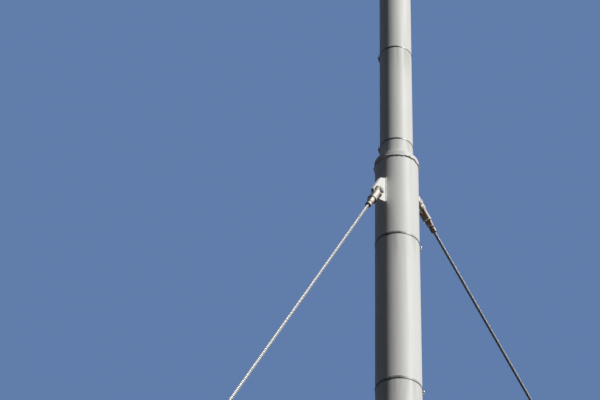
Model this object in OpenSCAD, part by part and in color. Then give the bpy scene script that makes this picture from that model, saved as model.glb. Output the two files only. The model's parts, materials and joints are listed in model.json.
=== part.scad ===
// Stayed flagpole in painted steel tube. A wide lower tube carries a narrower upper tube through a
// cone collar, and two taut wire stays run from lug plates below the collar to anchors in the ground.
// Millimetres, +Z up, origin at the centre of the base flange's underside. Azimuths turn about +Z
// from -Y, positive towards +X. Each stay is drawn in a frame of its own: the origin is its upper
// pin, +Z runs down along the stay and X is the axis of the pins.

/* [Mast] */
// Outside diameter of the lower tube
lower_d = 219.1; // [180:0.1:260]
// Wall of the lower tube
lower_wall = 6.3; // [4:0.1:12.5]
// Outside diameter of the upper tube
upper_d = 168.3; // [120:0.1:175]
// Wall of the upper tube
upper_wall = 5; // [3:0.1:10]
// Height of the collar's rim line above the ground
rim_z = 8186; // [7000:1:9500]
// Length of the upper tube above the rim line
upper_rise = 7000; // [4000:10:8000]
// Length of the upper tube that is held inside the lower one
upper_insert = 420; // [250:10:800]

/* [Collar] */
// Height of the ring that stands on the lower tube, from the rim line up
lip_h = 29; // [15:1:50]
// How far the ring stands proud of the lower tube
lip_proud = 2.5; // [1:0.1:6]
// Height of the cone above the ring
cone_h = 17; // [5:1:40]
// Radius of the weld bead at each edge of the collar
weld_r = 2.6; // [1:0.1:5]
// Height of the guide ring at the foot of the upper tube
guide_h = 40; // [20:1:80]

/* [Bands] */
// Width of a band on the upper tube
upper_band_w = 7; // [4:0.5:12]
// Width of a band on the lower tube
lower_band_w = 13; // [8:0.5:20]
// Thickness of a band
band_t = 1.4; // [0.8:0.1:3]
// Height of the first upper band above the rim line
upper_band_first = 134; // [100:1:200]
// Spacing of the upper bands
upper_band_pitch = 645; // [500:5:900]
// Depth of the first lower band below the rim line
lower_band_first = 498; // [350:1:600]
// Spacing of the lower bands
lower_band_pitch = 852; // [700:1:1200]
// Azimuth of the upper bands' buckles
upper_buckle_az = -100; // [-180:1:180]
// Azimuth of the lower bands' buckles
lower_buckle_az = 105; // [-180:1:180]
// Height of a buckle off its band
buckle_t = 9; // [5:0.5:12]
// Length of a buckle around the tube
buckle_l = 24; // [12:1:36]
// Diameter of a buckle's screw
buckle_screw_d = 6; // [3:0.5:8]
// Length of a buckle's screw
buckle_screw_l = 34; // [26:1:50]
// How far a buckle is wider than its band
buckle_over = 5; // [2:0.5:10]

/* [Base] */
// Diameter of the base flange
flange_d = 460; // [400:1:560]
// Thickness of the base flange
flange_t = 25; // [16:1:40]
// Bolt circle of the base flange
flange_pcd = 380; // [350:1:390]
// Number of bolt holes in the base flange
flange_holes = 8; // [4:1:12]
// Diameter of a bolt hole in the base flange
flange_hole_d = 27; // [18:0.5:33]
// Height of a base gusset
gusset_h = 180; // [100:5:300]
// Thickness of a base gusset
gusset_t = 12; // [8:1:20]
// How far a gusset's foot stops short of the flange's edge
gusset_inset = 14; // [5:1:30]

/* [Stays] */
// Diameter of the wire strand
strand_d = 15.2; // [10:0.1:20]
// Azimuth of the front stay
front_az = -34; // [-60:0.5:-10]
// Azimuth of the back stay
back_az = 136; // [110:0.5:160]
// Slope of the front stay below level, in degrees
front_slope = 60; // [50:0.5:68]
// Slope of the back stay below level, in degrees
back_slope = 45; // [40:0.5:60]
// Height of the front stay's upper pin
front_pin_z = 7919; // [7000:1:8000]
// Height of the back stay's upper pin
back_pin_z = 8049; // [7000:1:8060]
// Height of the pins at the ground anchors
anchor_pin_z = 105; // [90:1:160]

/* [Lugs] */
// Distance of the front lug's pin from the face of the tube
front_pin_out = 60; // [50:0.5:70]
// Distance of the back lug's pin from the face of the tube
back_pin_out = 42; // [38:0.5:60]
// Thickness of a lug plate
lug_t = 16; // [10:1:20]
// Distance from the pin to the lug's outer edge
lug_side = 35; // [30:0.5:40]
// Distance from the pin to the lug's end edge
lug_end = 40; // [36:0.5:44]
// How far out the lug's shoulder stands from the tube
lug_shoulder = 44; // [30:1:50]

/* [Fork sockets] */
// Diameter of a fork's barrel
barrel_d = 42; // [38:0.5:50]
// Diameter of a clevis pin
pin_d = 22; // [16:0.5:25]
// Thickness of a fork's ear
ear_t = 11; // [8:0.5:16]
// Radius of a fork's ear round its pin
ear_r = 24; // [21:0.5:28]
// Clearance beside a lug in its fork
fork_gap = 1; // [0.5:0.1:3]
// Depth of a fork's slot past its pin
slot_depth = 52; // [50:0.5:60]
// Distance from the upper pin to the end of the socket's nose
socket_l = 168; // [155:1:190]
// Length of the nose below its ring
nose_l = 66; // [45:1:75]
// Diameter of the nose at its ring
nose_d = 36; // [30:0.5:40]
// Diameter of the nose at its mouth
nose_end_d = 30; // [24:0.5:34]
// Diameter of the ring between barrel and nose
ring_d = 46; // [42:0.5:56]
// Height of that ring
ring_h = 8; // [5:0.5:14]
// Height of the sleeve at the nose's mouth
mouth_h = 24; // [10:0.5:30]
// Width of the groove above that sleeve
groove_w = 6; // [2:0.5:8]
// Depth of that groove
groove_t = 3; // [1:0.1:4]
// Length of the barrel on the socket at the strand's foot
lower_barrel_l = 42; // [30:1:60]

/* [Turnbuckles] */
// Diameter of the screws
screw_d = 24; // [18:0.5:27]
// Length of the open body
body_l = 320; // [240:5:450]
// Diameter of the body's end bosses
boss_d = 44; // [36:0.5:52]
// Length of an end boss
boss_l = 38; // [28:1:50]
// Diameter of the body's side bars
side_bar_d = 15; // [12:0.5:20]
// Distance from the lower pin to the foot of the body
body_foot = 150; // [125:1:220]
// Length of a screw's end inside the body
screw_in = 60; // [20:1:100]
// Length of screw that shows above the body
screw_out = 45; // [20:1:100]

/* [Anchors] */
// Length and width of an anchor's ground plate
anchor_w = 260; // [220:5:360]
// Thickness of an anchor's ground plate
anchor_t = 20; // [12:1:30]
// Bolt circle of an anchor's ground plate
anchor_pcd = 270; // [250:1:290]
// Diameter of a bolt hole in a ground plate
anchor_hole_d = 22; // [14:0.5:27]
// Length of an anchor lug's foot
anchor_lug_l = 150; // [120:1:200]

/* [Top] */
// Thickness of the top cap's plate
cap_t = 12; // [6:1:20]
// How far the cap stands proud of the upper tube
cap_proud = 8; // [4:1:20]
// Depth of the cap's skirt
cap_skirt = 60; // [30:1:100]
// Diameter of the halyard sheave
sheave_d = 90; // [60:1:110]
// Width of the halyard sheave
sheave_w = 18; // [12:1:24]
// Diameter of the finial ball
ball_d = 220; // [120:1:260]
// Length of the finial's stem
stem_l = 90; // [50:1:160]
// Diameter of the finial's stem
stem_d = 32; // [20:1:50]

/* [Cleat] */
// Height of the halyard cleat above the ground
cleat_z = 1350; // [1250:10:1500]
// Length of the cleat
cleat_l = 210; // [150:1:260]

/* [Hidden] */
$fn = 64;

paint = [0.90, 0.90, 0.87];
galvanised = [0.66, 0.68, 0.69];
bright_steel = [0.78, 0.78, 0.78];
band_black = [0.12, 0.12, 0.13];
bare_aluminium = [0.80, 0.80, 0.78];
nylon = [0.16, 0.16, 0.17];

lower_r = lower_d / 2;
upper_r = upper_d / 2;
lip_r = lower_r + lip_proud;
top_z = rim_z + upper_rise;
slot_w = lug_t + 2 * fork_gap;
fork_w = slot_w + 2 * ear_t;
pin_head_t = 5;
pin_head_over = 4;
pin_end = 9;
barrel_top = socket_l - nose_l - ring_h;
shoulder_slope = 30;
root_rise = 21;
back_side = 180;

front = [front_az, front_slope, front_pin_z, front_pin_out];
back = [back_az, back_slope, back_pin_z, back_pin_out];

stem_foot_h = 8;
stem_top = top_z + cap_t + stem_l + stem_foot_h;
ball_z = top_z + cap_t + stem_l + sqrt(pow(ball_d / 2, 2) - pow(stem_d / 2, 2));
ball_wall = 2;

sheave_pin_d = 14;
sheave_side = 1;
cheek_t = 6;
sheave_out = upper_r + cap_proud + sheave_d / 2 + 6;
sheave_z = top_z - cap_skirt / 2;

// Distance from the lower pin to the end of the strand
strand_foot = body_foot + body_l + screw_out + lower_barrel_l + ring_h + nose_l;

upper_band_count = floor((upper_rise - upper_band_first - cap_skirt - upper_band_w) / upper_band_pitch) + 1;
lower_band_count = floor((rim_z - lower_band_first - flange_t - gusset_h - lower_band_w)
    / lower_band_pitch) + 1;

// Length of a stay from its upper pin to its lower pin
function stay_length(stay) = (stay[2] - anchor_pin_z) / sin(stay[1]);

// Distance of a stay's lower pin from the mast's axis
function anchor_out(stay) = lower_r + stay[3] + stay_length(stay) * cos(stay[1]);

// A point of a lug, out from the tube and up from the pin, from distances along and across the stay
function beside_stay(stay, along, across) = [
    stay[3] + along * cos(stay[1]) + across * sin(stay[1]),
    -along * sin(stay[1]) + across * cos(stay[1])
];

// Turns a shape drawn with its outward side along +X to an azimuth
module at_azimuth(az) {
    rotate([0, 0, az - 90]) children();
}

// Puts a shape drawn in a stay's own frame in its place
module along_stay(stay) {
    at_azimuth(stay[0])
        translate([lower_r + stay[3], 0, stay[2]])
            rotate([0, 90 + stay[1], 0])
                rotate([0, 0, 90])
                    children();
}

module tube(r, wall, h) {
    difference() {
        cylinder(r = r, h = h, $fn = 96);
        translate([0, 0, -1]) cylinder(r = r - wall, h = h + 2, $fn = 96);
    }
}

module ring_of_bolts(count, pcd, d, h) {
    for (i = [0 : count - 1])
        rotate([0, 0, (i + 0.5) * 360 / count])
            translate([pcd / 2, 0, -1])
                cylinder(d = d, h = h + 2, $fn = 32);
}

module base_flange() {
    color(paint)
        difference() {
            cylinder(d = flange_d, h = flange_t, $fn = 96);
            ring_of_bolts(flange_holes, flange_pcd, flange_hole_d, flange_t);
        }
}

// Triangular ribs between the bolts, with the corner at the weld cut off
module base_gussets() {
    reach = flange_d / 2 - gusset_inset;
    toe = gusset_t;
    color(paint)
        for (i = [0 : flange_holes - 1])
            rotate([0, 0, i * 360 / flange_holes])
                difference() {
                    translate([0, gusset_t / 2, flange_t])
                        rotate([90, 0, 0])
                            linear_extrude(gusset_t)
                                polygon([
                                    [lower_r - lower_wall / 2, 2 * toe], [lower_r + toe, 0],
                                    [reach, 0], [reach, toe],
                                    [lower_r + toe, gusset_h], [lower_r - lower_wall / 2, gusset_h]
                                ]);
                    translate([0, 0, flange_t - 1]) cylinder(r = lower_r, h = gusset_h + 2, $fn = 96);
                }
}

module lower_tube() {
    color(paint)
        translate([0, 0, flange_t]) tube(lower_r, lower_wall, rim_z - flange_t);
}

// Collar that closes the step between the tubes: a proud ring on the lower tube's end, a cone over
// it and a weld bead at each edge
module collar() {
    collar_top = rim_z + lip_h + cone_h;
    color(paint)
        rotate_extrude($fn = 96)
            difference() {
                union() {
                    polygon([
                        [upper_r, rim_z], [lip_r, rim_z], [lip_r, rim_z + lip_h - 2],
                        [lip_r - 2, rim_z + lip_h], [upper_r + weld_r, collar_top], [upper_r, collar_top]
                    ]);
                    translate([lower_r, rim_z]) circle(r = weld_r, $fn = 24);
                    translate([upper_r, collar_top]) circle(r = 2 * weld_r, $fn = 24);
                }
                translate([0, rim_z - 2 * weld_r]) square([lower_r, 2 * weld_r]);
                square([upper_r, 2 * rim_z]);
            }
}

// Ring inside the lower tube that centres the foot of the upper one
module guide_ring() {
    color(paint)
        translate([0, 0, rim_z - upper_insert])
            tube(lower_r - lower_wall, lower_r - lower_wall - upper_r, guide_h);
}

module upper_tube() {
    color(paint)
        translate([0, 0, rim_z - upper_insert])
            tube(upper_r, upper_wall, upper_insert + upper_rise);
}

// Flat band round a tube, with its buckle and the screw that tightens it
module band(tube_r, w, z, buckle_az) {
    difference() {
        union() {
            translate([0, 0, z - w / 2]) cylinder(r = tube_r + band_t, h = w, $fn = 96);
            at_azimuth(buckle_az) {
                translate([0, -buckle_l / 2, z - (w + buckle_over) / 2])
                    cube([tube_r + band_t + buckle_t, buckle_l, w + buckle_over]);
                translate([tube_r + band_t + buckle_t / 2, buckle_screw_l / 2, z])
                    rotate([90, 0, 0]) cylinder(d = buckle_screw_d, h = buckle_screw_l, $fn = 24);
            }
        }
        translate([0, 0, z - w - buckle_over]) cylinder(r = tube_r, h = 2 * (w + buckle_over), $fn = 96);
    }
}

module upper_bands() {
    color(band_black)
        for (i = [0 : upper_band_count - 1])
            band(upper_r, upper_band_w, rim_z + upper_band_first + i * upper_band_pitch, upper_buckle_az);
}

module lower_bands() {
    color(band_black)
        for (i = [0 : lower_band_count - 1])
            band(lower_r, lower_band_w, rim_z - lower_band_first - i * lower_band_pitch, lower_buckle_az);
}

// Cap with a skirt over the end of the upper tube
module top_cap() {
    color(paint)
        rotate_extrude($fn = 96)
            polygon([
                [0, top_z], [upper_r, top_z], [upper_r, top_z - cap_skirt],
                [upper_r + cap_proud, top_z - cap_skirt], [upper_r + cap_proud, top_z + cap_t / 2],
                [upper_r + cap_proud / 2, top_z + cap_t], [0, top_z + cap_t]
            ]);
}

// Two cheek plates on the cap's skirt that hold the sheave
module truck_cheeks() {
    half_gap = sheave_w / 2 + sheave_side;
    cheek_r = sheave_d / 2 + 4;
    color(paint)
        at_azimuth(back_side)
            for (side = [-1, 1])
                difference() {
                    translate([0, side * (half_gap + cheek_t / 2) + cheek_t / 2, 0])
                        rotate([90, 0, 0])
                            linear_extrude(cheek_t)
                                difference() {
                                    union() {
                                        translate([0, top_z - cap_skirt]) square([sheave_out, cap_skirt]);
                                        translate([sheave_out, sheave_z]) circle(r = cheek_r);
                                    }
                                    translate([sheave_out, sheave_z]) circle(d = sheave_pin_d);
                                }
                    translate([0, 0, top_z - 2 * cap_skirt - sheave_d])
                        cylinder(r = upper_r + cap_proud, h = 3 * cap_skirt + 2 * sheave_d, $fn = 96);
                }
}

// Grooved wheel for the halyard
module truck_sheave() {
    groove_r = sheave_w * 0.36;
    color(nylon)
        at_azimuth(back_side)
            translate([sheave_out, 0, sheave_z])
                rotate([90, 0, 0])
                    rotate_extrude($fn = 64)
                        difference() {
                            translate([sheave_pin_d / 2 + 0.2, -sheave_w / 2])
                                square([(sheave_d - sheave_pin_d) / 2 - 0.2, sheave_w]);
                            translate([sheave_d / 2 + 1, 0]) circle(r = groove_r, $fn = 32);
                        }
}

module sheave_pin() {
    reach = sheave_w / 2 + sheave_side + cheek_t;
    color(bright_steel)
        at_azimuth(back_side)
            translate([sheave_out, reach, sheave_z])
                rotate([90, 0, 0]) {
                    cylinder(d = sheave_pin_d, h = 2 * reach + 4);
                    translate([0, 0, -5]) cylinder(d = sheave_pin_d + 8, h = 5);
                }
}

module finial_stem() {
    color(bare_aluminium)
        rotate_extrude($fn = 64)
            polygon([
                [0, top_z + cap_t], [stem_d, top_z + cap_t], [stem_d, top_z + cap_t + stem_foot_h],
                [stem_d / 2, top_z + cap_t + 2 * stem_foot_h], [stem_d / 2, stem_top], [0, stem_top]
            ]);
}

// Hollow ball with a hole at its foot for the stem
module finial_ball() {
    color(bare_aluminium)
        translate([0, 0, ball_z])
            rotate_extrude($fn = 96)
                difference() {
                    circle(d = ball_d, $fn = 96);
                    circle(d = ball_d - 2 * ball_wall, $fn = 96);
                    translate([-ball_d, -ball_d]) square([ball_d, 2 * ball_d]);
                    translate([0, -ball_d]) square([stem_d / 2, ball_d]);
                }
}

// Two-horned cleat on the back of the lower tube
module cleat() {
    foot_l = cleat_l * 0.32;
    foot_w = 34;
    horn_d = 20;
    stand = 46;
    color(bare_aluminium)
        at_azimuth(back_side)
            difference() {
                union() {
                    translate([lower_r - 4, -foot_w / 2, cleat_z - foot_l / 2]) cube([10, foot_w, foot_l]);
                    for (side = [-1, 1])
                        translate([lower_r, 0, cleat_z + side * (foot_l / 2 - horn_d / 2)])
                            rotate([0, 90, 0]) cylinder(d = horn_d, h = stand);
                    translate([lower_r + stand, 0, cleat_z - cleat_l / 2])
                        rotate_extrude($fn = 32)
                            polygon([
                                [0, 0], [horn_d * 0.32, 2], [horn_d / 2, cleat_l * 0.3],
                                [horn_d / 2, cleat_l * 0.7], [horn_d * 0.32, cleat_l - 2], [0, cleat_l]
                            ]);
                }
                cylinder(r = lower_r, h = 2 * cleat_z, $fn = 96);
            }
}

// Lug plate: its outer edge runs along the stay and its end edge square to it
module lug(stay) {
    tip = beside_stay(stay, lug_end - 6, lug_side);
    tip_corner = beside_stay(stay, lug_end + 4, lug_side - 9);
    heel = beside_stay(stay, lug_end, -lug_side * 0.8);
    shoulder = [lug_shoulder, tip[1] + (tip[0] - lug_shoulder) * tan(stay[1])];
    root_top = shoulder[1] + lug_shoulder * tan(shoulder_slope);
    sunk = lower_wall / 2;
    color(paint)
        difference() {
            at_azimuth(stay[0])
                translate([lower_r, lug_t / 2, stay[2]])
                    rotate([90, 0, 0])
                        linear_extrude(lug_t)
                            difference() {
                                polygon([
                                    [-sunk, root_top], [0, root_top], shoulder, tip, tip_corner, heel,
                                    [0, heel[1] + root_rise], [-sunk, heel[1] + root_rise]
                                ]);
                                translate([stay[3], 0]) circle(d = pin_d + 0.2);
                            }
            cylinder(r = lower_r, h = rim_z, $fn = 96);
        }
}

// Ears and barrel of a fork, with the slot that straddles a lug
module fork_body(barrel_end) {
    difference() {
        intersection() {
            union() {
                rotate([0, 90, 0]) cylinder(r = ear_r, h = fork_w, center = true);
                translate([-fork_w / 2, -ear_r, 0]) cube([fork_w, 2 * ear_r, slot_depth * 0.5]);
                translate([0, 0, slot_depth * 0.5])
                    cylinder(r1 = ear_r, r2 = barrel_d / 2, h = slot_depth * 0.4);
                translate([0, 0, slot_depth * 0.9 - 1]) cylinder(d = barrel_d, h = barrel_end - slot_depth * 0.9 + 1);
            }
            union() {
                translate([0, 0, slot_depth * 0.55 - 2 * ear_r]) cylinder(r = fork_w / 2 + 5, h = 2 * ear_r);
                translate([0, 0, -1]) cylinder(r = ear_r, h = barrel_end + 2);
            }
        }
        translate([-slot_w / 2, -2 * ear_r, -2 * ear_r]) cube([slot_w, 4 * ear_r, 2 * ear_r + slot_depth]);
        rotate([0, 90, 0]) cylinder(d = pin_d + 0.2, h = 2 * fork_w, center = true);
    }
}

// Ring and tapered nose that take the strand, from the barrel's end at z = 0
module ring_and_nose() {
    mouth = ring_h + nose_l;
    groove_foot = mouth - mouth_h;
    rotate_extrude($fn = 64)
        polygon([
            [0, 0], [barrel_d / 2, 0], [ring_d / 2, 1.5], [ring_d / 2, ring_h - 1.5], [nose_d / 2 + 2, ring_h],
            [nose_d / 2, ring_h + 3], [nose_end_d / 2, groove_foot - groove_w],
            [nose_end_d / 2 - groove_t, groove_foot - groove_w / 2], [nose_end_d / 2, groove_foot],
            [nose_end_d / 2, mouth - 2], [nose_end_d / 2 - 2, mouth], [0, mouth]
        ]);
}

module fork_socket(stay) {
    color(galvanised)
        along_stay(stay) {
            fork_body(barrel_top);
            translate([0, 0, barrel_top]) ring_and_nose();
        }
}

// Clevis pin with a head at one end and a flat washer at the other
module clevis_pin(stay, at) {
    color(bright_steel)
        along_stay(stay)
            translate([0, 0, at])
                rotate([0, 90, 0]) {
                    translate([0, 0, -fork_w / 2]) cylinder(d = pin_d, h = fork_w + pin_end);
                    translate([0, 0, -fork_w / 2 - pin_head_t])
                        cylinder(d = pin_d + 2 * pin_head_over, h = pin_head_t);
                    translate([0, 0, fork_w / 2]) cylinder(d = pin_d + 2 * pin_head_over, h = 3);
                }
}

module strand(stay) {
    color(bright_steel)
        along_stay(stay)
            translate([0, 0, socket_l])
                cylinder(d = strand_d, h = stay_length(stay) - socket_l - strand_foot, $fn = 32);
}

// Socket at the foot of the strand, with the screw that enters the turnbuckle
module lower_socket(stay) {
    color(galvanised)
        along_stay(stay)
            translate([0, 0, stay_length(stay) - strand_foot + nose_l + ring_h]) {
                mirror([0, 0, 1]) ring_and_nose();
                cylinder(d = barrel_d, h = lower_barrel_l);
                cylinder(d = screw_d, h = lower_barrel_l + screw_out + boss_l + screw_in);
            }
}

// Open turnbuckle body: a boss at each end and two side bars
module turnbuckle(stay) {
    bar_at = boss_d / 2 + side_bar_d / 2 - 5;
    bore_d = screw_d + 0.2;
    color(galvanised)
        along_stay(stay)
            translate([0, 0, stay_length(stay) - body_foot - body_l])
                difference() {
                    union() {
                        for (z = [0, body_l - boss_l]) translate([0, 0, z]) cylinder(d = boss_d, h = boss_l);
                        for (side = [-1, 1])
                            translate([0, side * bar_at, boss_l * 0.3])
                                cylinder(d = side_bar_d, h = body_l - boss_l * 0.6);
                    }
                    translate([0, 0, -1]) cylinder(d = bore_d, h = body_l + 2);
                }
}

module screw_fork(stay) {
    fork_end = slot_depth + 16;
    color(galvanised)
        along_stay(stay)
            translate([0, 0, stay_length(stay)])
                mirror([0, 0, 1]) {
                    fork_body(fork_end);
                    translate([0, 0, fork_end]) cylinder(d = screw_d, h = body_foot + boss_l + screw_in - fork_end);
                }
}

// Lug that stands on the ground plate and takes the lower pin
module anchor_lug(stay) {
    slope = stay[1];
    top_r = lug_side * 0.8;
    color(galvanised)
        at_azimuth(stay[0])
            translate([anchor_out(stay), lug_t / 2, 0])
                rotate([90, 0, 0])
                    linear_extrude(lug_t)
                        difference() {
                            union() {
                                translate([0, anchor_pin_z]) circle(r = top_r);
                                polygon([
                                    [-anchor_lug_l / 2, anchor_t], [anchor_lug_l / 2, anchor_t],
                                    [anchor_lug_l / 2, anchor_t + 12],
                                    [top_r * cos(20), anchor_pin_z + top_r * sin(20)],
                                    [-top_r * cos(20), anchor_pin_z + top_r * sin(20)],
                                    [-anchor_lug_l / 2, anchor_t + 12]
                                ]);
                            }
                            translate([0, anchor_pin_z]) circle(d = pin_d + 0.2);
                        }
}

module anchor_plate(stay) {
    corner = 20;
    color(galvanised)
        at_azimuth(stay[0])
            translate([anchor_out(stay), 0, 0])
                difference() {
                    linear_extrude(anchor_t)
                        polygon([
                            for (q = [0 : 3], k = [-1, 1])
                                let (a = q * 90 + 45, h = anchor_w / 2)
                                let (x = sign(cos(a)) * h, y = sign(sin(a)) * h)
                                let (cut_x = (k == 1) == (q % 2 == 0))
                                [x - (cut_x ? sign(x) * corner : 0), y - (cut_x ? 0 : sign(y) * corner)]
                        ]);
                    ring_of_bolts(4, anchor_pcd, anchor_hole_d, anchor_t);
                }
}

base_flange();
base_gussets();
lower_tube();
collar();
guide_ring();
upper_tube();
upper_bands();
lower_bands();
top_cap();
truck_cheeks();
truck_sheave();
sheave_pin();
finial_stem();
finial_ball();
cleat();
lug(front);  // front_lug
fork_socket(front);  // front_fork_socket
clevis_pin(front, 0);  // front_upper_pin
strand(front);  // front_strand
lower_socket(front);  // front_lower_socket
turnbuckle(front);  // front_turnbuckle
screw_fork(front);  // front_screw_fork
clevis_pin(front, stay_length(front));  // front_lower_pin
anchor_lug(front);  // front_anchor_lug
anchor_plate(front);  // front_anchor_plate
lug(back);  // back_lug
fork_socket(back);  // back_fork_socket
clevis_pin(back, 0);  // back_upper_pin
strand(back);  // back_strand
lower_socket(back);  // back_lower_socket
turnbuckle(back);  // back_turnbuckle
screw_fork(back);  // back_screw_fork
clevis_pin(back, stay_length(back));  // back_lower_pin
anchor_lug(back);  // back_anchor_lug
anchor_plate(back);  // back_anchor_plate
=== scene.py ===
"""Looks for a stayed flagpole: paint, welds, clamp bands, laid wire strands, fork sockets and anchors.

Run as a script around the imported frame. Sizes are metres in the frame's own axes: +Z up the mast and
-Y towards the viewer. Azimuths turn from -Y, positive towards +X. A stay's own axes have their origin
at its upper pin, +Z down along the stay and X along the pin.
"""

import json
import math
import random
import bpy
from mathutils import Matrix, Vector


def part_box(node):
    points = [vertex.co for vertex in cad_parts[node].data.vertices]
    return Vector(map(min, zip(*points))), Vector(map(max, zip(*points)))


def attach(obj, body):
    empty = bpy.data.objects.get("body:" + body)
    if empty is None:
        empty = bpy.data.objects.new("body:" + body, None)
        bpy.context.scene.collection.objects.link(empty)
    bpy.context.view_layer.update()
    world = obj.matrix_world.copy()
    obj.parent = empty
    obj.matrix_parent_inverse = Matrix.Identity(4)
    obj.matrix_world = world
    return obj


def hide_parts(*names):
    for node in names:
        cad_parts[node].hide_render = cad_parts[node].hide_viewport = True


bl_info = {
    "name": "Stayed flagpole dressing",
    "version": (1, 0, 0),
    "blender": (4, 5, 0),
    "location": "3D View > Sidebar > Flagpole",
    "description": "Adds finishes, welds, clamps, strands and fasteners to the flagpole's frame",
    "category": "Object",
}

import bpy
from mathutils import Euler, Matrix, Vector

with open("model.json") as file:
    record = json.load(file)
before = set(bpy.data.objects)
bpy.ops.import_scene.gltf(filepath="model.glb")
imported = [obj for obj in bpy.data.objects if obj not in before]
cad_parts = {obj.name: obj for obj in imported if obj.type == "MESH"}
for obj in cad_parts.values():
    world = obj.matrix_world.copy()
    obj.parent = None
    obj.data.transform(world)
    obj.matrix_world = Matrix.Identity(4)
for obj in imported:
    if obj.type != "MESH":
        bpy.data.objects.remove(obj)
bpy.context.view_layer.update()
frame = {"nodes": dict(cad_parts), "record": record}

LOWER_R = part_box("lower_tube")[1].x
UPPER_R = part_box("upper_tube")[1].x
RIM_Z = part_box("lower_tube")[1].z
TOP_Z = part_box("upper_tube")[1].z
COLLAR_TOP = RIM_Z + 0.046
FLANGE_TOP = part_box("base_flange")[1].z
GUSSET_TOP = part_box("base_gussets")[1].z
ANCHOR_PIN_Z = 0.105
ANCHOR_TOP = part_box("front_anchor_plate")[1].z
BACK_SIDE = math.pi
CLEAT_Z = 1.35
UPPER_FIRST = 0.134
UPPER_PITCH = 0.645
UPPER_BANDS = [RIM_Z + UPPER_FIRST + i * UPPER_PITCH for i in range(11)]
LOWER_FIRST = 0.498
LOWER_PITCH = 0.852
LOWER_BANDS = [RIM_Z - LOWER_FIRST - i * LOWER_PITCH for i in range(9)]
# Side towards the key light, where dark marks are painted paler as a painted highlight
GLARE_SIDE = (math.sin(math.radians(45)), -math.cos(math.radians(45)), 0)

PHOTO_WIDTH = 600
FOCAL_PIXELS = 1998.2
SENSOR_WIDTH = 36


class Stay:
    """One stay's line, from its upper pin down to its lower pin."""

    def __init__(self, name, azimuth, slope, pin_z, pin_out, painted_shade):
        self.name = name
        self.azimuth = math.radians(azimuth)
        self.slope = math.radians(slope)
        self.length = (pin_z - ANCHOR_PIN_Z) / math.sin(self.slope)
        self.outward = Vector((math.sin(self.azimuth), -math.cos(self.azimuth), 0))
        self.down = self.outward * math.cos(self.slope) - Vector((0, 0, math.sin(self.slope)))
        self.pin_axis = Vector((math.cos(self.azimuth), math.sin(self.azimuth), 0))
        self.upper_pin = self.outward * (LOWER_R + pin_out) + Vector((0, 0, pin_z))
        above = self.outward * math.sin(self.slope) + Vector((0, 0, math.cos(self.slope)))
        # Side of a stay's sockets that gets a painted shade, if it has one
        self.shaded_side = above * 0.88 - self.pin_axis * 0.48 if painted_shade else Vector()

    def place(self, along=0.0):
        """Matrix from the stay's own axes, moved along the stay, to the frame."""
        across = self.down.cross(self.pin_axis)
        turn = Matrix((self.pin_axis, across, self.down)).transposed().to_4x4()
        return Matrix.Translation(self.upper_pin + self.down * along) @ turn

    def anchor(self):
        """Matrix that carries the anchor plate's centre and its outward +X to the frame."""
        foot = self.upper_pin + self.down * self.length
        return Matrix.Translation((foot.x, foot.y, 0)) @ around_mast(self.azimuth)


def around_mast(azimuth, z=0.0):
    """Matrix that carries +X to an azimuth's outward side, at a height."""
    return Matrix.Translation((0, 0, z)) @ Matrix.Rotation(azimuth - math.pi / 2, 4, "Z")


STAYS = (
    Stay("front", azimuth=-34, slope=60, pin_z=7.919, pin_out=0.060, painted_shade=True),
    Stay("back", azimuth=136, slope=45, pin_z=8.049, pin_out=0.042, painted_shade=False))

# Sizes of a stay's fittings, and where they stand along it
SOCKET_L = 0.168
NOSE_GROOVE = 0.141
MOUTH_R = 0.0128
FORK_W = 0.040
EAR_R = 0.024
FORK_END = 0.068
LUG_T = 0.016
SCREW_D = 0.024
SCREW_IN = 0.098
SCREW_OUT = 0.045
BODY_L = 0.320
BODY_FOOT = 0.150
LOWER_BARREL_L = 0.042
RING_AND_NOSE = 0.074
STRAND_FOOT = BODY_FOOT + BODY_L + SCREW_OUT + LOWER_BARREL_L + RING_AND_NOSE

# Fasteners and welds
THREAD_PITCH = 0.003
BASE_BOLT_D = 0.024
BASE_BOLT_R = 0.190
ANCHOR_BOLT_D = 0.020
ANCHOR_BOLT_R = 0.135
RIPPLE_STEP = 0.003


class MastLook(bpy.types.PropertyGroup):
    """Colours and wear of the painted steel."""

    paint: bpy.props.FloatVectorProperty(
        name="Paint", description="Colour of the mast's paint", subtype="COLOR", size=3,
        default=(0.87, 0.875, 0.855), min=0, max=1)
    lug_paint: bpy.props.FloatVectorProperty(
        name="Lug paint", description="Colour of the cleaner paint on the lugs", subtype="COLOR", size=3,
        default=(0.89, 0.89, 0.87), min=0, max=1)
    # Also the colour of painted shade along the straps and the collar's seam, in weld hollows and round the
    # forks on the lugs
    grime_and_shade: bpy.props.FloatVectorProperty(
        name="Grime", description="Colour of dirt in seams and under straps", subtype="COLOR", size=3,
        default=(0.030, 0.027, 0.024), min=0, max=1)
    wear: bpy.props.FloatProperty(
        name="Wear", description="Strength of the streaks on the paint", default=0.32, min=0, max=1,
        subtype="FACTOR")


class BandLook(bpy.types.PropertyGroup):
    """Sizes of the clamp bands round the tubes."""

    upper_w: bpy.props.FloatProperty(
        name="Upper width", description="Width of a band on the upper tube", default=0.007, min=0.004,
        max=0.012, unit="LENGTH")
    lower_w: bpy.props.FloatProperty(
        name="Lower width", description="Width of a band on the lower tube", default=0.013, min=0.008,
        max=0.02, unit="LENGTH")
    thickness: bpy.props.FloatProperty(
        name="Thickness", description="Thickness of a band", default=0.0014, min=0.0008, max=0.003,
        unit="LENGTH")


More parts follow.
